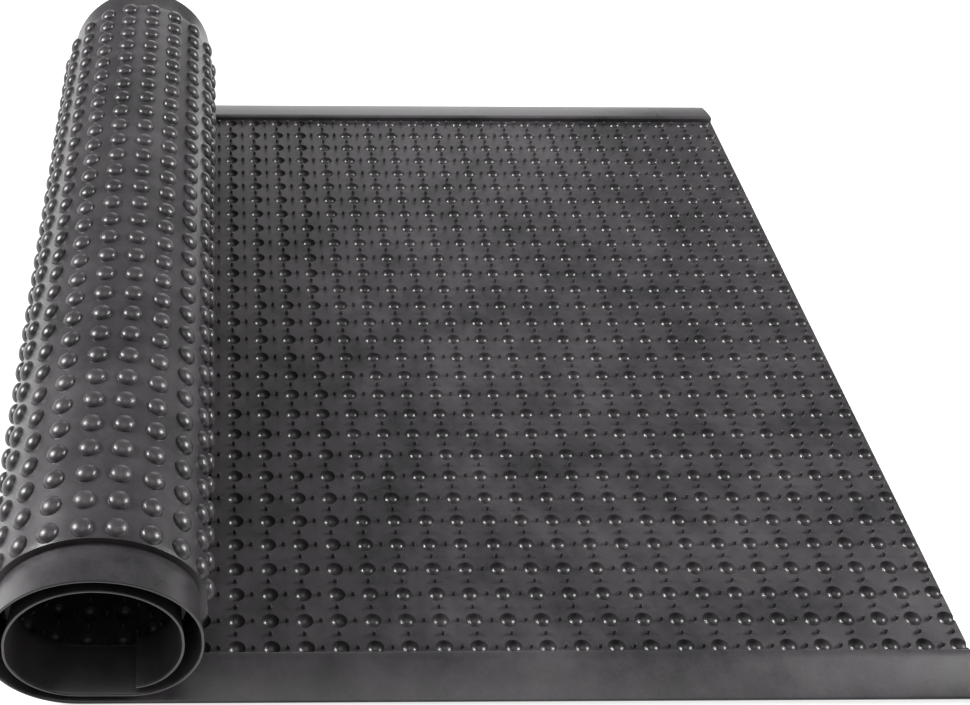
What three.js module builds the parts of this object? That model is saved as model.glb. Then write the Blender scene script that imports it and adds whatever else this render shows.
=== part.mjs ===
// Rubber bubble mat, moulded in one piece and partly rolled up with its bubbles outwards.
// Millimetres, +Z up. The roll's axis lies along Y, the flat stretch runs to +X with its underside up.
// The origin is on the floor, below the middle of the whole mat.

import * as THREE from 'three';

// Sheet, measured on its section
const MAT_WIDTH = 912;
const BORDER_WIDTH = 42.3;
const WEB_THICKNESS = 2.8;
const BUBBLE_HEIGHT = 5.6;
const BUBBLE_TO_STEP = 0.4;
const BORDER_STEP = 5.3;
const BORDER_THICKNESS = 2.8;
const RIM_THICKNESS = 2.2;
const RIM_EDGE_BREAK = 0.6;

// Fall of a border from its step to its rim, where the mat lies flat and where it is rolled
const DROOP_FLAT = 8.3;
const DROOP_ROLLED = 3.3;

// Mat as it lies, measured over the bubbles
const OVERALL_LENGTH = 798;
const CUT_OUT_OF_SQUARE = 6.5;
const ROLL_WIDTH = 182;
const ROLL_HEIGHT = 155;
const FAR_END_RISE = 12;

// Shape of the roll: where it leaves the floor and turns, from its left side and from the floor
const LIFT_OFF_FROM_LEFT = 77;
const TOUCH_DOWN_FROM_LEFT = 116.2;
const CROWN_FROM_LEFT = 93.8;
const LEFT_SIDE_HEIGHT = 67.2;
const RIGHT_SIDE_HEIGHT = 81.2;

// How far each turn lies inside the one before it
const TURN_STEP_BOTTOM = 9.6;
const TURN_STEP_LEFT = 14;
const TURN_STEP_TOP = 10.9;
const TURN_STEP_RIGHT = 14.8;
const INNER_END_ANGLE = 714;
const ANGLE_STEP = 7;

// Black vulcanised rubber with a satin skin
const RUBBER_COLOUR = 0x2b2a2c;
const RUBBER_ROUGHNESS = 0.5;

const QUARTER = 90;
const FULL_TURN = 360;
const FIELD_THICKNESS = WEB_THICKNESS + BUBBLE_HEIGHT;
const LEFT_X = -OVERALL_LENGTH / 2;
const CUT_END_X = OVERALL_LENGTH / 2;
const LIFT_OFF_X = LEFT_X + LIFT_OFF_FROM_LEFT;
const TOUCH_DOWN_X = LEFT_X + TOUCH_DOWN_FROM_LEFT;
const CROWN_X = LEFT_X + CROWN_FROM_LEFT;

// Section across the mat: X is the place across the width, Y is the height over the web's underside
function matSection() {
  const rim = MAT_WIDTH / 2;
  const stepInside = rim - BORDER_WIDTH;
  const stepOutside = stepInside + WEB_THICKNESS;
  const lastBubble = stepInside - BUBBLE_TO_STEP;
  const rimTop = BORDER_STEP - DROOP_FLAT;
  const rimFoot = rimTop - RIM_THICKNESS;
  const half = [
    [stepInside, 0],
    [stepInside, BORDER_STEP],
    [rim - RIM_EDGE_BREAK, rimTop],
    [rim, rimTop - RIM_EDGE_BREAK],
    [rim, rimFoot + RIM_EDGE_BREAK],
    [rim - RIM_EDGE_BREAK, rimFoot],
    [stepOutside, BORDER_STEP - BORDER_THICKNESS],
    [stepOutside, -WEB_THICKNESS],
    [lastBubble, -WEB_THICKNESS],
    [lastBubble, -FIELD_THICKNESS],
  ];
  const right = half.map(([across, up]) => new THREE.Vector2(across, up));
  const left = half.map(([across, up]) => new THREE.Vector2(-across, up)).reverse();
  return new THREE.Shape([...right, ...left]);
}

// Quarter of the roll that an angle lies in, as the centre and the two half widths of its ellipse.
// Angles run from the lift-off point over the left side, the crown and the right side.
function quarterEllipse(angle, crownHeight) {
  const quarter = Math.floor(angle / QUARTER);
  const turn = Math.floor(quarter / 4);
  const side = quarter % 4;
  const bottom = FIELD_THICKNESS + turn * TURN_STEP_BOTTOM;
  const nextBottom = bottom + TURN_STEP_BOTTOM;
  const left = LEFT_X + FIELD_THICKNESS + turn * TURN_STEP_LEFT;
  const top = crownHeight - FIELD_THICKNESS - turn * TURN_STEP_TOP;
  const right = LEFT_X + ROLL_WIDTH - FIELD_THICKNESS - turn * TURN_STEP_RIGHT;
  const onLeft = side < 2;
  const centreX = [LIFT_OFF_X, CROWN_X, CROWN_X, TOUCH_DOWN_X][side];
  const centreZ = onLeft ? LEFT_SIDE_HEIGHT : RIGHT_SIDE_HEIGHT;
  const edgeX = onLeft ? left : right;
  const edgeZ = [bottom, top, top, nextBottom][side];
  return { centreX, centreZ, halfWidth: Math.abs(edgeX - centreX), halfHeight: Math.abs(edgeZ - centreZ) };
}

// A station gives, for a share of the mat's width, the point of the web's underside there, the direction
// towards the roll's inside and the border's droop. This one lies at an angle of the roll.
function rolledStation(angle) {
  const radians = THREE.MathUtils.degToRad(angle);
  const outX = -Math.sin(radians);
  const outZ = -Math.cos(radians);
  const settled = Math.max(0, Math.cos(radians));
  return (widthShare) => {
    const ellipse = quarterEllipse(angle, ROLL_HEIGHT + FAR_END_RISE * widthShare);
    const slopeX = -ellipse.halfHeight * outX;
    const slopeZ = -ellipse.halfWidth * outZ;
    const length = Math.hypot(slopeX, slopeZ);
    return {
      x: ellipse.centreX + ellipse.halfWidth * outX,
      z: ellipse.centreZ + ellipse.halfHeight * outZ,
      inX: slopeX / length,
      inZ: slopeZ / length,
      droop: THREE.MathUtils.lerp(DROOP_ROLLED, DROOP_FLAT, settled),
    };
  };
}

function flatStation(x, z) {
  return () => ({ x, z, inX: 0, inZ: 1, droop: DROOP_FLAT });
}

// Cut end, which runs slightly out of square: its near corner is the shorter one
function cutStation() {
  return (widthShare) => {
    const x = CUT_END_X - CUT_OUT_OF_SQUARE * (1 - widthShare);
    return { x, z: FIELD_THICKNESS, inX: 0, inZ: 1, droop: DROOP_FLAT };
  };
}

// Stations along the mat, from its inner end in the roll to the cut end of the flat stretch.
// Each full turn has a short flat run where it lies on the turn below it.
function matStations() {
  const stations = [cutStation()];
  for (let turnStart = 0; turnStart < INNER_END_ANGLE; turnStart += FULL_TURN) {
    const turnEnd = Math.min(turnStart + FULL_TURN, INNER_END_ANGLE);
    const count = Math.ceil((turnEnd - turnStart) / ANGLE_STEP);
    for (let index = 0; index <= count; index += 1) {
      const share = index / count;
      const angle = THREE.MathUtils.lerp(turnStart, turnEnd, share);
      const endsTurn = index === count && turnEnd === turnStart + FULL_TURN;
      stations.push(endsTurn ? touchDownStation(turnEnd) : rolledStation(angle));
    }
  }
  return stations.reverse();
}

function touchDownStation(angle) {
  const height = FIELD_THICKNESS + (angle / FULL_TURN) * TURN_STEP_BOTTOM;
  return flatStation(TOUCH_DOWN_X, height);
}

// Share of the way from a border's step to its rim
function borderShare(across) {
  const stepInside = MAT_WIDTH / 2 - BORDER_WIDTH;
  return Math.max(0, Math.abs(across) - stepInside) / BORDER_WIDTH;
}

// The straight moulding, bent so that each step of its length lies at its station
function bubbleMatGeometry() {
  const stations = matStations();
  const steps = stations.length - 1;
  const geometry = new THREE.ExtrudeGeometry(matSection(), { depth: steps, steps, bevelEnabled: false });
  const position = geometry.getAttribute('position');
  for (let index = 0; index < position.count; index += 1) {
    const across = position.getX(index);
    const station = stations[Math.round(position.getZ(index))];
    const place = station(across / MAT_WIDTH + 0.5);
    const up = position.getY(index) + (DROOP_FLAT - place.droop) * borderShare(across);
    position.setXYZ(index, place.x + up * place.inX, across, place.z + up * place.inZ);
  }
  geometry.computeVertexNormals();
  return geometry;
}

function bubbleMat() {
  const rubber = new THREE.MeshStandardMaterial({
    color: RUBBER_COLOUR,
    roughness: RUBBER_ROUGHNESS,
    metalness: 0,
  });
  const mesh = new THREE.Mesh(bubbleMatGeometry(), rubber);
  mesh.name = 'bubble_mat';
  return mesh;
}

const mat = new THREE.Group();
mat.add(bubbleMat());

export default mat;
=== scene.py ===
import math

import bmesh
import bpy
from mathutils import Matrix, Vector


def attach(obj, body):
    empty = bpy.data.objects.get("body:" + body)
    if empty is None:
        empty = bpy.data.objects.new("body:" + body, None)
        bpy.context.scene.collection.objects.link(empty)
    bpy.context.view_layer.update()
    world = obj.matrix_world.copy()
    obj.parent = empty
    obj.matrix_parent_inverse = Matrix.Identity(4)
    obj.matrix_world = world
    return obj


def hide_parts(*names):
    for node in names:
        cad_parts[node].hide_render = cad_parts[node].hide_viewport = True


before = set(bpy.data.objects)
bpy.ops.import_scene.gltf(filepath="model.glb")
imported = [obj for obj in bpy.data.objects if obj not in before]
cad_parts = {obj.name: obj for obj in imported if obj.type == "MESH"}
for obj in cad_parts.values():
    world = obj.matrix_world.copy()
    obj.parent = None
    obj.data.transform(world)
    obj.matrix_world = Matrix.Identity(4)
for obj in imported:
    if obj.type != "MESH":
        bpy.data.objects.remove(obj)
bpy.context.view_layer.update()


# Field of the mat
# Black vulcanised rubber, pressed in one piece in a hot mould: a thin web with hollow bubbles on its
# upper face and, on its underside, the bubbles' hollows and small pegs midway between them.
PITCH = 0.028
ROWS = 30
ROWS_IN_A_STRIP = 5
WEB_THICKNESS = 0.0028
BUBBLE_RADIUS = 0.0094
BUBBLE_HEIGHT = 0.0056
BUBBLE_RINGS = 5
HOLLOW_RADIUS = 0.0072
HOLLOW_LIP = 0.00025
HOLLOW_LIP_DEPTH = 0.0004
HOLLOW_DEPTH = 0.0060
HOLLOW_RINGS = 4
ROUND_SIDES = 16
PEG_RADIUS = 0.0019
PEG_DRAFT = 0.0003
PEG_TIP_RADIUS = 0.0012
PEG_HEIGHT = 0.0042
PEG_EDGE = 0.0005
PEG_SIDES = 8
BLOCK_HALF_SHARE = 0.35
SAME_ANGLE = 1e-3
SAME_POINT = 1e-5
SAME_POINT_OF_TILES = 5e-5
CREASE_ANGLE = 50
MAT_WIDTH = 0.912
BORDER_WIDTH = 0.0423
STEP_INSIDE = MAT_WIDTH / 2 - BORDER_WIDTH
FIELD_UNDER_BORDER = 0.0022

# Fall of a border from its step to its rim, where the mat lies flat and where it is rolled
DROOP_FLAT = 0.0083
DROOP_ROLLED = 0.0033

# Way the mat lies, measured from the roll's left side and from the floor
LEFT_X = -0.399
CUT_END_X = 0.399
CUT_OUT_OF_SQUARE = 0.0045
LAST_COLUMN_INSET = 0.0099
NEAR_ROWS_INSET = 0.0011
NEUTRAL_DEPTH = 0.0075
FIELD_THICKNESS = WEB_THICKNESS + BUBBLE_HEIGHT
ROLL_WIDTH = 0.182
ROLL_HEIGHT = 0.155
FAR_END_RISE = 0.012
LIFT_OFF_X = LEFT_X + 0.077
TOUCH_DOWN_X = LEFT_X + 0.1162
CROWN_X = LEFT_X + 0.0938
LEFT_SIDE_HEIGHT = 0.0672
RIGHT_SIDE_HEIGHT = 0.0812
TURN_STEPS = {"bottom": 0.0096, "left": 0.014, "top": 0.0109, "right": 0.0148}
INNER_END_ANGLE = 714


def roll_point(angle):
    """Place, inward direction and lean of the web's underside at an angle of the roll."""
    quarter = int(angle // 90)
    turn, side = divmod(quarter, 4)
    bottom = FIELD_THICKNESS + turn * TURN_STEPS["bottom"]
    left = LEFT_X + FIELD_THICKNESS + turn * TURN_STEPS["left"]
    top = ROLL_HEIGHT - FIELD_THICKNESS - turn * TURN_STEPS["top"]
    right = LEFT_X + ROLL_WIDTH - FIELD_THICKNESS - turn * TURN_STEPS["right"]
    centre_x = (LIFT_OFF_X, CROWN_X, CROWN_X, TOUCH_DOWN_X)[side]
    centre_z = LEFT_SIDE_HEIGHT if side < 2 else RIGHT_SIDE_HEIGHT
    half_width = abs((left if side < 2 else right) - centre_x)
    half_height = abs((bottom, top, top, bottom + TURN_STEPS["bottom"])[side] - centre_z)
    out_x, out_z = -math.sin(math.radians(angle)), -math.cos(math.radians(angle))
    inward = Vector((-half_height * out_x, 0, -half_width * out_z)).normalized()
    place = Vector((centre_x + half_width * out_x, 0, centre_z + half_height * out_z))
    return place, inward, -out_z


def neutral_line():
    """Line that keeps its length as the mat is rolled, from the cut end to the inner end."""
    stations = []
    flat_steps = 60
    for step in range(flat_steps):
        x = CUT_END_X + (LIFT_OFF_X - CUT_END_X) * step / flat_steps
        stations.append((Vector((x, 0, FIELD_THICKNESS)), Vector((0, 0, 1)), 1.0))
    for angle in range(INNER_END_ANGLE + 1):
        stations.append(roll_point(angle))
        if angle % 360 == 359:
            height = FIELD_THICKNESS + (angle // 360 + 1) * TURN_STEPS["bottom"]
            for share in (0, 0.25, 0.5, 0.75):
                x = TOUCH_DOWN_X + (LIFT_OFF_X - TOUCH_DOWN_X) * share
                stations.append((Vector((x, 0, height)), Vector((0, 0, 1)), 1.0))
    mesh = bpy.data.meshes.new("neutral_line")
    points = [place - inward * NEUTRAL_DEPTH for place, inward, _ in stations]
    mesh.from_pydata(points, [(n, n + 1) for n in range(len(points) - 1)], [])
    lean = mesh.attributes.new("lean", "FLOAT", "POINT")
    lean.data.foreach_set("value", [station[2] for station in stations])
    line = bpy.data.objects.new("neutral_line", mesh)
    return line, sum((b - a).length for a, b in zip(points, points[1:]))


def block_rim(half_x, half_y, steps_x, steps_y):
    """Corners and in-between points of a block, anticlockwise from the middle of its right side."""
    right = [(half_x, half_y * (2 * n / steps_y - 1)) for n in range(steps_y)]
    top = [(half_x * (1 - 2 * n / steps_x), half_y) for n in range(steps_x)]
    rim = right + top + [(-x, -y) for x, y in right] + [(-x, -y) for x, y in top]
    middle = rim.index((half_x, 0.0))
    return rim[middle:] + rim[:middle]


def circle(radius, sides):
    """Corners of a round, anticlockwise from its right side."""
    turns = [math.tau * n / sides for n in range(sides)]
    return [(radius * math.cos(turn), radius * math.sin(turn)) for turn in turns]


def add_band(bm, outer, inner, centre, facing_up):
    """Faces between two loops that run round one centre, each given as its points and height."""
    loops, angles = [], []
    for points, height in (outer, inner):
        loops.append([bm.verts.new((centre[0] + x, centre[1] + y, height)) for x, y in points])
        angles.append([math.atan2(y, x) % math.tau for x, y in points] + [math.tau])
    place = [0, 0]
    while place[0] < len(loops[0]) or place[1] < len(loops[1]):
        step = [place[n] < len(loops[n]) for n in (0, 1)]
        ahead = [angles[n][place[n] + 1] if step[n] else math.inf for n in (0, 1)]
        moves = [step[n] and ahead[n] <= min(ahead) + SAME_ANGLE for n in (0, 1)]
        now = [loops[n][place[n] % len(loops[n])] for n in (0, 1)]
        place = [place[n] + moves[n] for n in (0, 1)]
        after = [loops[n][place[n] % len(loops[n])] for n in (0, 1)]
        corners = [now[0]] + [after[0]] * moves[0] + [after[1]] * moves[1] + [now[1]]
        bm.faces.new(corners if facing_up else corners[::-1])


def add_cap(bm, points, height, tip, centre, facing_up):
    """Fan of faces from a loop to a point on its axis."""
    loop = [bm.verts.new((centre[0] + x, centre[1] + y, height)) for x, y in points]
    middle = bm.verts.new((centre[0], centre[1], tip))
    for a, b in zip(loop, loop[1:] + loop[:1]):
        bm.faces.new((a, b, middle) if facing_up else (b, a, middle))


def add_plain_block(bm, low, high, steps, height, facing_up):
    """Flat stretch of web, cut into steps both ways."""
    def corner(column, row):
        x = low[0] + (high[0] - low[0]) * column / steps[0]
        y = low[1] + (high[1] - low[1]) * row / steps[1]
        return bm.verts.new((x, y, height))
    for column in range(steps[0]):
        for row in range(steps[1]):
            around = [corner(column + a, row + b) for a, b in ((0, 0), (1, 0), (1, 1), (0, 1))]
            bm.faces.new(around if facing_up else around[::-1])


def moulded_pitch():
    """One pitch of the mould in both directions: a bubble, its hollow, two pegs and the web."""
    bm = bmesh.new()
    inner = BLOCK_HALF_SHARE * PITCH
    outer = (1 - BLOCK_HALF_SHARE) * PITCH
    round_block = block_rim(inner, inner, 4, 4)
    peg_half = (outer - inner) / 2
    peg_centre = -(outer + inner) / 2

    lip = circle(HOLLOW_RADIUS + HOLLOW_LIP, ROUND_SIDES)
    add_band(bm, (round_block, 0), (lip, 0), (0, 0), True)
    hollow = [(lip, 0)]
    for step in range(HOLLOW_RINGS):
        turn = math.radians(90 * step / HOLLOW_RINGS)
        sunk = HOLLOW_LIP_DEPTH + (HOLLOW_DEPTH - HOLLOW_LIP_DEPTH) * math.sin(turn)
        hollow.append((circle(HOLLOW_RADIUS * math.cos(turn), ROUND_SIDES), -sunk))
    for upper, lower in zip(hollow, hollow[1:]):
        add_band(bm, upper, lower, (0, 0), True)
    add_cap(bm, *hollow[-1], -HOLLOW_DEPTH, (0, 0), True)

    for block, centre in (
        (block_rim(peg_half, inner, 2, 4), (peg_centre, 0)),
        (block_rim(inner, peg_half, 4, 2), (0, peg_centre)),
    ):
        peg = [
            (block, 0),
            (circle(PEG_RADIUS, PEG_SIDES), 0),
            (circle(PEG_RADIUS - PEG_DRAFT, PEG_SIDES), PEG_HEIGHT - PEG_EDGE),
            (circle(PEG_TIP_RADIUS, PEG_SIDES), PEG_HEIGHT),
        ]
        for lower, upper in zip(peg, peg[1:]):
            add_band(bm, lower, upper, centre, True)
        add_cap(bm, *peg[-1], PEG_HEIGHT, centre, True)
    add_plain_block(bm, (-outer, -outer), (-inner, -inner), (2, 2), 0, True)

    bubble = []
    for step in range(BUBBLE_RINGS):
        turn = math.radians(90 * step / BUBBLE_RINGS)
        stands = WEB_THICKNESS + BUBBLE_HEIGHT * math.sin(turn)
        bubble.append((circle(BUBBLE_RADIUS * math.cos(turn), ROUND_SIDES), -stands))
    add_band(bm, (round_block, -WEB_THICKNESS), bubble[0], (0, 0), False)
    for upper, lower in zip(bubble, bubble[1:]):
        add_band(bm, upper, lower, (0, 0), False)
    add_cap(bm, *bubble[-1], -FIELD_THICKNESS, (0, 0), False)
    add_plain_block(bm, (-outer, -inner), (-inner, inner), (2, 4), -WEB_THICKNESS, False)
    add_plain_block(bm, (-inner, -outer), (inner, -inner), (4, 2), -WEB_THICKNESS, False)
    add_plain_block(bm, (-outer, -outer), (-inner, -inner), (2, 2), -WEB_THICKNESS, False)

    bmesh.ops.remove_doubles(bm, verts=bm.verts, dist=SAME_POINT)
    mesh = bpy.data.meshes.new("moulded_pitch")
    bm.to_mesh(mesh)
    bm.free()
    return bpy.data.objects.new("moulded_pitch", mesh)


class GeometryTree:
    """Geometry Nodes tree with named inputs, whose nodes are laid by add()."""

    def __init__(self, name, inputs):
        self.tree = bpy.data.node_groups.new(name, "GeometryNodeTree")
        face = self.tree.interface
        face.new_socket("Geometry", in_out="INPUT", socket_type="NodeSocketGeometry")
        face.new_socket("Geometry", in_out="OUTPUT", socket_type="NodeSocketGeometry")
        self.identifiers = {}
        for label, kind in inputs.items():
            socket = face.new_socket(label, in_out="INPUT", socket_type="NodeSocket" + kind)
            self.identifiers[label] = socket.identifier
        self.inputs = self.tree.nodes.new("NodeGroupInput").outputs

    def add(self, kind, settings=None, **sockets):
        """Lays a node. _0 is its first socket; other names have a space for each underscore."""
        node = self.tree.nodes.new(kind)
        for name, value in (settings or {}).items():
            setattr(node, name, value)
        for name, value in sockets.items():
            key = int(name[1:]) if name[0] == "_" else name.replace("_", " ")
            if isinstance(value, bpy.types.NodeSocket):
                self.tree.links.new(value, node.inputs[key])
            else:
                node.inputs[key].default_value = value
        return node.outputs

    def math(self, operation, *values):
        sockets = {f"_{place}": value for place, value in enumerate(values)}
        return self.add("ShaderNodeMath", {"operation": operation}, **sockets)[0]

    def finish(self, geometry, material):
        real = self.add("GeometryNodeRealizeInstances", Geometry=geometry)[0]
        done = self.add("GeometryNodeSetMaterial", Geometry=real, Material=material)[0]
        out = self.tree.nodes.new("NodeGroupOutput")
        self.tree.links.new(done, out.inputs[0])

    def shape(self, piece, values):
        """Runs the tree on a piece, gives the piece the plain mesh and removes the modifier."""
        modifier = piece.modifiers.new(self.tree.name, "NODES")
        modifier.node_group = self.tree
        for name, value in values.items():
            modifier[self.identifiers[name]] = value
        bpy.context.view_layer.update()
        ready = piece.evaluated_get(bpy.context.evaluated_depsgraph_get())
        mesh = bpy.data.meshes.new_from_object(ready)
        piece.modifiers.remove(modifier)
        piece.data = mesh


def strip_moulding_tree():
    """Presses the one pitch row by row, trims the field under the borders and walls its edges."""
    tree = GeometryTree("strip_moulding", {
        "Pitch Tile": "Object", "Columns": "Int", "Rows": "Int", "Pitch": "Float",
        "Centre": "Vector", "Web Thickness": "Float", "Field Edge": "Float", "Rubber": "Material",
    })
    given = tree.inputs
    length, width = [
        tree.math("MULTIPLY", tree.math("SUBTRACT", given[count], 1), given["Pitch"])
        for count in ("Columns", "Rows")
    ]
    grid = tree.add("GeometryNodeMeshGrid", Size_X=length, Size_Y=width,
                    Vertices_X=given["Columns"], Vertices_Y=given["Rows"])[0]
    placed = tree.add("GeometryNodeSetPosition", Geometry=grid, Offset=given["Centre"])[0]
    tile = tree.add("GeometryNodeObjectInfo", Object=given["Pitch Tile"])["Geometry"]
    pressed = tree.add("GeometryNodeInstanceOnPoints", Points=placed, Instance=tile)[0]
    real = tree.add("GeometryNodeRealizeInstances", Geometry=pressed)[0]
    joined = tree.add("GeometryNodeMergeByDistance", Geometry=real, Distance=SAME_POINT_OF_TILES)[0]

    place = tree.add("ShaderNodeSeparateXYZ", _0=tree.add("GeometryNodeInputPosition")[0])
    across = tree.math("ABSOLUTE", place["Y"])
    beyond = tree.add("FunctionNodeCompare", {"operation": "GREATER_THAN"},
                      A=across, B=given["Field Edge"])[0]
    kept = tree.add("GeometryNodeDeleteGeometry", {"domain": "FACE"},
                    Geometry=joined, Selection=beyond)[0]

    faces = tree.add("GeometryNodeInputMeshEdgeNeighbors")[0]
    open_edge = tree.math("COMPARE", faces, 1)
    half_way = tree.math("MULTIPLY", given["Web Thickness"], -0.5)
    upper = tree.math("GREATER_THAN", place["Z"], half_way)
    chosen = tree.math("MULTIPLY", open_edge, upper)
    downwards = tree.add("ShaderNodeCombineXYZ", Z=-1.0)[0]
    walled = tree.add("GeometryNodeExtrudeMesh", {"mode": "EDGES"}, Mesh=kept, Selection=chosen,
                      Offset=downwards, Offset_Scale=given["Web Thickness"])[0]
    closed = tree.add("GeometryNodeMergeByDistance", Geometry=walled, Distance=SAME_POINT_OF_TILES)[0]
    tree.finish(closed, given["Rubber"])
    return tree


def rolling_tree():
    """Bends a straight piece along the neutral line, with the rims drawn up and the far end raised."""
    tree = GeometryTree("rolling_up", {
        "Neutral Line": "Object", "Neutral Depth": "Float", "Mat Width": "Float",
        "Far End Rise": "Float", "Step Inside": "Float", "Border Width": "Float",
        "Droop Flat": "Float", "Droop Rolled": "Float", "Rubber": "Material",
    })
    given = tree.inputs
    line = tree.add("GeometryNodeObjectInfo", Object=given["Neutral Line"])["Geometry"]
    curve = tree.add("GeometryNodeMeshToCurve", Mesh=line)[0]
    place = tree.add("ShaderNodeSeparateXYZ", _0=tree.add("GeometryNodeInputPosition")[0])
    along = tree.math("MULTIPLY", place["X"], -1)
    lean = tree.add("GeometryNodeInputNamedAttribute", {"data_type": "FLOAT"}, Name="lean")[0]
    sample = tree.add("GeometryNodeSampleCurve", {"mode": "LENGTH", "data_type": "FLOAT"},
                      Curves=curve, Value=lean, Length=along)
    spot = tree.add("ShaderNodeSeparateXYZ", _0=sample["Position"])
    heading = tree.add("ShaderNodeSeparateXYZ", _0=sample["Tangent"])

    settled = tree.math("MAXIMUM", sample["Value"], 0)
    past_step = tree.math("SUBTRACT", tree.math("ABSOLUTE", place["Y"]), given["Step Inside"])
    border = tree.math("DIVIDE", tree.math("MAXIMUM", past_step, 0), given["Border Width"])
    drawn_up = tree.math("SUBTRACT", given["Droop Flat"], given["Droop Rolled"])
    rolled = tree.math("MULTIPLY", tree.math("SUBTRACT", 1, settled), border)
    raised = tree.math("MULTIPLY_ADD", drawn_up, rolled, place["Z"])
    height = tree.math("ADD", raised, given["Neutral Depth"])

    lifted = tree.math("MAXIMUM", tree.math("MULTIPLY", sample["Value"], -1), 0)
    width_share = tree.math("ADD", tree.math("DIVIDE", place["Y"], given["Mat Width"]), 0.5)
    rise = tree.math("MULTIPLY", tree.math("MULTIPLY", given["Far End Rise"], lifted), width_share)
    x = tree.math("MULTIPLY_ADD", heading["Z"], height, spot["X"])
    fall = tree.math("MULTIPLY", tree.math("MULTIPLY", heading["X"], height), -1)
    z = tree.math("ADD", tree.math("ADD", spot["Z"], fall), rise)
    bent = tree.add("ShaderNodeCombineXYZ", _0=x, _1=place["Y"], _2=z)[0]
    rolled_up = tree.add("GeometryNodeSetPosition", Geometry=given["Geometry"], Position=bent)[0]
    tree.finish(rolled_up, given["Rubber"])
    return tree


def trim_ends(mesh, length):
    """Cuts both ends of a straight length of moulding with a knife and closes the cuts."""
    out_of_square = Vector((MAT_WIDTH, -CUT_OUT_OF_SQUARE, 0)).normalized()
    cuts = [
        (Vector((0, MAT_WIDTH / 2, 0)), out_of_square),
        (Vector((-length, 0, 0)), Vector((-1, 0, 0))),
    ]
    bm = bmesh.new()
    bm.from_mesh(mesh)
    for point, direction in cuts:
        everything = bm.verts[:] + bm.edges[:] + bm.faces[:]
        made = bmesh.ops.bisect_plane(
            bm, geom=everything, plane_co=point, plane_no=direction, clear_outer=True)["geom_cut"]
        edges = [part for part in made if isinstance(part, bmesh.types.BMEdge)]
        bmesh.ops.triangle_fill(bm, edges=edges, use_beauty=True, normal=direction)
    bmesh.ops.triangulate(bm, faces=bm.faces)
    bmesh.ops.recalc_face_normals(bm, faces=bm.faces)
    bm.to_mesh(mesh)
    bm.free()


line, mat_length = neutral_line()
tile = moulded_pitch()
for pattern in (line, tile):
    bpy.context.scene.collection.objects.link(pattern)
strip_moulding = strip_moulding_tree()
rolling = rolling_tree()

rubber = bpy.data.materials.new("satin_black_rubber")
rubber.use_nodes = True

rolling_sizes = {
    "Neutral Line": line, "Neutral Depth": NEUTRAL_DEPTH, "Mat Width": MAT_WIDTH,
    "Far End Rise": FAR_END_RISE, "Step Inside": STEP_INSIDE, "Border Width": BORDER_WIDTH,
    "Droop Flat": DROOP_FLAT, "Droop Rolled": DROOP_ROLLED, "Rubber": rubber,
}
columns = math.ceil(mat_length / PITCH) + 1


def finish_piece(piece):
    """Rolls a straight piece up, keeps its moulded edges crisp and hangs it on the frame."""
    trim_ends(piece.data, mat_length)
    rolling.shape(piece, rolling_sizes)
    piece.data.shade_smooth()
    piece.data.set_sharp_from_angle(angle=math.radians(CREASE_ANGLE))
    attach(piece, "root")
    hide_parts("bubble_mat")


for first_row in range(0, ROWS, ROWS_IN_A_STRIP):
    number = first_row // ROWS_IN_A_STRIP + 1
    strip = bpy.data.objects.new(f"bubble_field_{number}", bpy.data.meshes.new("strip"))
    bpy.context.scene.collection.objects.link(strip)
    middle_row = first_row + (ROWS_IN_A_STRIP - 1) / 2 - (ROWS - 1) / 2
    inset = LAST_COLUMN_INSET + NEAR_ROWS_INSET * (0.5 - middle_row / ROWS)
    middle_column = -inset - (columns - 1) / 2 * PITCH
    strip_moulding.shape(strip, {
        "Pitch Tile": tile, "Columns": columns, "Rows": ROWS_IN_A_STRIP, "Pitch": PITCH,
        "Centre": (middle_column, middle_row * PITCH, 0), "Web Thickness": WEB_THICKNESS,
        "Field Edge": STEP_INSIDE + FIELD_UNDER_BORDER, "Rubber": rubber,
    })
    finish_piece(strip)


# Borders
# The smooth edges of the same moulding. Each rises in a step beside the last row of bubbles and then
# slopes down to a thin rim, which reaches the floor where the mat lies flat.
BORDER_STEP = 0.0053
BORDER_THICKNESS = 0.0028
BORDER_FIRST_SLOPE = 0.45
RIM_TOP = BORDER_STEP - DROOP_FLAT
RIM_THICKNESS = 0.0022
RIM_EDGE_BREAK = 0.0006
STEP_EDGE_BREAK = 0.0012
BORDER_STATION = 0.0045
PAST_THE_CUT = 0.005

rim = MAT_WIDTH / 2
rim_underside = RIM_TOP - RIM_THICKNESS
step_outside = STEP_INSIDE + WEB_THICKNESS
foot = -WEB_THICKNESS + 0.0001


def border_fall(share):
    """How far the border has sunk at a share of its width: little at first, then more."""
    slopes = BORDER_FIRST_SLOPE * share + (1 - BORDER_FIRST_SLOPE) * share ** 2
    return (BORDER_STEP - RIM_TOP) * slopes


border_section = [
    (STEP_INSIDE, foot),
    (STEP_INSIDE, BORDER_STEP - STEP_EDGE_BREAK),
    (STEP_INSIDE + 0.3 * STEP_EDGE_BREAK, BORDER_STEP - 0.3 * STEP_EDGE_BREAK),
    (STEP_INSIDE + STEP_EDGE_BREAK, BORDER_STEP),
    *[(STEP_INSIDE + share * BORDER_WIDTH, BORDER_STEP - border_fall(share))
      for share in (0.2, 0.4, 0.6, 0.8)],
    (rim - 0.0020, RIM_TOP + 0.0004),
    (rim - RIM_EDGE_BREAK, RIM_TOP - 0.0001),
    (rim, RIM_TOP - 0.0007),
    (rim, rim_underside + RIM_EDGE_BREAK),
    (rim - RIM_EDGE_BREAK, rim_underside),
    (STEP_INSIDE + 0.6 * BORDER_WIDTH, BORDER_STEP - border_fall(0.6) - BORDER_THICKNESS),
    (step_outside, BORDER_STEP - BORDER_THICKNESS),
    (step_outside, foot),
]

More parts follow.
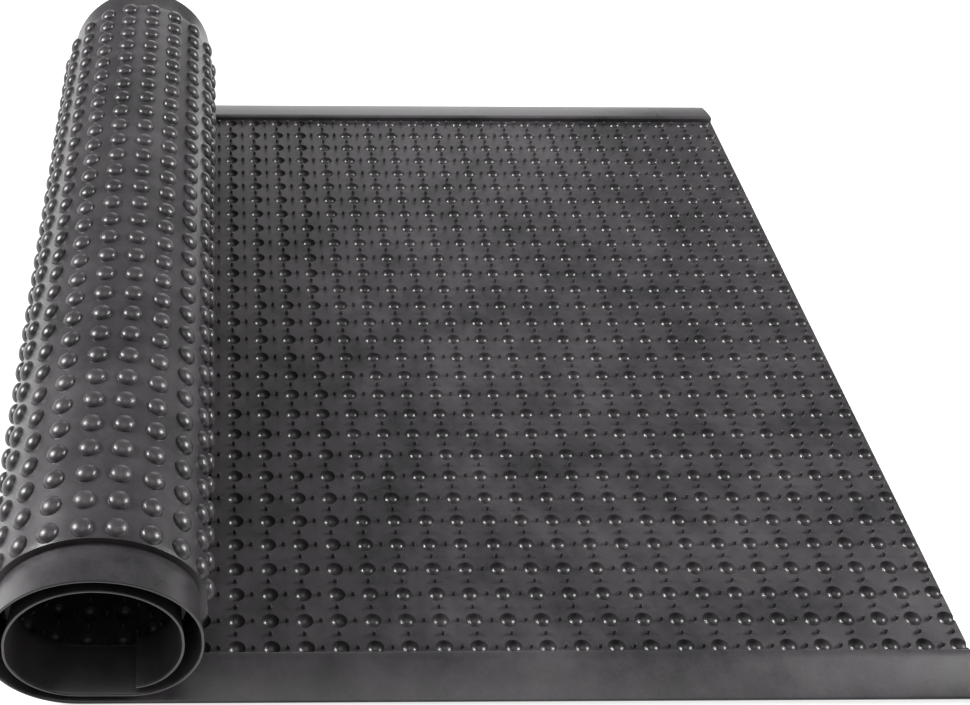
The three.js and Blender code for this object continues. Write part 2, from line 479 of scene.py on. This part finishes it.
for side, name in ((-1, "border_near"), (1, "border_far")):
    bm = bmesh.new()
    stations = math.ceil(mat_length / BORDER_STATION) + 2
    section = [(side * y, z) for y, z in border_section]
    loops = []
    for station in range(stations + 1):
        x = PAST_THE_CUT - station * BORDER_STATION
        loops.append([bm.verts.new((x, y, z)) for y, z in section])
    for before, after in zip(loops, loops[1:]):
        for corner in range(len(section)):
            following = (corner + 1) % len(section)
            bm.faces.new((before[corner], before[following], after[following], after[corner]))
    bm.faces.new(loops[0])
    bm.faces.new(loops[-1])
    mesh = bpy.data.meshes.new(name)
    bm.to_mesh(mesh)
    bm.free()
    border = bpy.data.objects.new(name, mesh)
    bpy.context.scene.collection.objects.link(border)
    finish_piece(border)

for pattern in (tile, line):
    bpy.data.objects.remove(pattern)


# Rubber
# The satin skin that a hot mould leaves: near black with a slight warm cast, faintly mottled where
# the compound flowed and where talc has been wiped off, with a fine grain.
DARK_RUBBER = (0.011, 0.0105, 0.0115, 1)
LIGHT_RUBBER = (0.042, 0.037, 0.041, 1)
LEAST_ROUGHNESS = 0.27
ROUGHNESS_SPREAD = 0.10
GRAIN_STRENGTH = 0.25
GRAIN_DEPTH = 0.0004


class Wire:
    """A shader socket that can stand in an expression."""

    def __init__(self, tree, socket):
        self.tree = tree
        self.socket = socket

    def node(self, kind, settings=None, **sockets):
        """Lays a node. _0 is its first socket; other names have a space for each underscore."""
        node = self.tree.nodes.new("ShaderNode" + kind)
        for name, value in (settings or {}).items():
            if name == "stops":
                for stop, (position, grey) in zip(node.color_ramp.elements, value):
                    stop.position = position
                    stop.color = (grey, grey, grey, 1)
            else:
                setattr(node, name, value)
        for name, value in sockets.items():
            key = int(name[1:]) if name[0] == "_" else name.replace("_", " ")
            if isinstance(value, Wire):
                self.tree.links.new(value.socket, node.inputs[key])
            else:
                node.inputs[key].default_value = value
        return node

    def wire(self, kind, settings=None, output=0, **sockets):
        return Wire(self.tree, self.node(kind, settings, **sockets).outputs[output])

    def math(self, operation, a, b):
        return self.wire("Math", {"operation": operation}, _0=a, _1=b)

    def __add__(self, other):
        return self.math("ADD", self, other)

    def __mul__(self, other):
        return self.math("MULTIPLY", self, other)

    __radd__ = __add__
    __rmul__ = __mul__


skin_tree = rubber.node_tree
skin_tree.nodes.clear()
coordinates = Wire(skin_tree, skin_tree.nodes.new("ShaderNodeTexCoord").outputs["Object"])


def noise(scale, detail, roughness):
    return coordinates.wire(
        "TexNoise", output="Fac", Vector=coordinates, Scale=scale, Detail=detail, Roughness=roughness)


cloud = noise(9.0, 3.0, 0.55)
flow = noise(38.0, 4.0, 0.6)
speck = noise(420.0, 3.0, 0.7)
grain = noise(1900.0, 2.0, 0.6)
mottle = cloud * 0.45 + flow * 0.35 + speck * 0.2
tone = coordinates.wire("ValToRGB", {"stops": ((0.36, 0.0), (0.64, 1.0))}, Fac=mottle)
colour = coordinates.wire("Mix", {"data_type": "RGBA"}, 2, _0=tone, _6=DARK_RUBBER, _7=LIGHT_RUBBER)
roughness = LEAST_ROUGHNESS + tone * ROUGHNESS_SPREAD
bump = coordinates.wire(
    "Bump", Strength=GRAIN_STRENGTH, Distance=GRAIN_DEPTH, Height=grain * 0.5 + speck * 0.5)
skin = coordinates.wire(
    "BsdfPrincipled", Base_Color=colour, Roughness=roughness, Normal=bump, Specular_IOR_Level=0.5)
coordinates.node("OutputMaterial", Surface=skin)


# Floor and light
# A plain white floor that glows a little by itself, a softbox beside the mat on either side, a broad
# fill overhead and a faint light from behind.
FLOOR_REACH = 6.0
FLOOR_BELOW = 0.0002
FLOOR_GREY = 0.5
FLOOR_GLOW = 0.75
WORLD_LIGHT = 0.32
LIGHTS_AIM = Vector((0, 0, 0.05))

floor_mesh = bpy.data.meshes.new("floor")
corners = [(x * FLOOR_REACH, y * FLOOR_REACH, -FLOOR_BELOW) for x, y in ((-1, -1), (1, -1), (1, 1), (-1, 1))]
floor_mesh.from_pydata(corners, [], [(0, 1, 2, 3)])
floor = bpy.data.objects.new("floor", floor_mesh)
bpy.context.scene.collection.objects.link(floor)
white = bpy.data.materials.new("white_floor")
white.use_nodes = True
paint = white.node_tree.nodes["Principled BSDF"]
paint.inputs["Base Color"].default_value = (FLOOR_GREY, FLOOR_GREY, FLOOR_GREY, 1)
paint.inputs["Roughness"].default_value = 0.9
paint.inputs["Specular IOR Level"].default_value = 0.1
paint.inputs["Emission Color"].default_value = (1, 1, 1, 1)
paint.inputs["Emission Strength"].default_value = FLOOR_GLOW
floor.data.materials.append(white)

for name, place, size, power in (
    ("left_softbox", (-2.3, 0.4, 1.6), 0.8, 110),
    ("right_softbox", (2.3, 0.4, 1.6), 0.8, 100),
    ("overhead_fill", (0.0, -0.8, 3.2), 2.4, 26),
    ("back_glow", (0.3, 3.4, 0.8), 1.6, 12),
):
    light = bpy.data.lights.new(name, "AREA")
    light.size = size
    light.energy = power
    lamp = bpy.data.objects.new(name, light)
    lamp.location = place
    lamp.rotation_mode = "QUATERNION"
    lamp.rotation_quaternion = (Vector(place) - LIGHTS_AIM).to_track_quat("Z", "Y")
    bpy.context.scene.collection.objects.link(lamp)

world = bpy.data.worlds.new("studio")
world.use_nodes = True
world.node_tree.nodes["Background"].inputs["Color"].default_value = (1, 1, 1, 1)
world.node_tree.nodes["Background"].inputs["Strength"].default_value = WORLD_LIGHT
bpy.context.scene.world = world
bpy.context.scene.view_settings.view_transform = "Standard"


# Camera
# It stands over the near end, a little left of the middle, with the roll on the left of the picture.
CAMERA_PLACE = (-0.2151, -1.1522, 0.9403)
LOOKS_ALONG = (0.0235, 0.7678, -0.6403)
ITS_RIGHT = (0.9997, -0.0178, 0.0154)

camera_data = bpy.data.cameras.new("camera")
camera_data.sensor_width = 36
camera_data.lens = 54.01
camera_data.shift_x = 0.2403
camera_data.clip_start = 0.05
camera_data.clip_end = 50
camera = bpy.data.objects.new("camera", camera_data)
bpy.context.scene.collection.objects.link(camera)
forward = Vector(LOOKS_ALONG).normalized()
right = Vector(ITS_RIGHT)
right = (right - forward * right.dot(forward)).normalized()
up = right.cross(forward)
turned = Matrix((right, up, -forward)).transposed().to_4x4()
camera.matrix_world = Matrix.Translation(CAMERA_PLACE) @ turned
bpy.context.scene.camera = camera
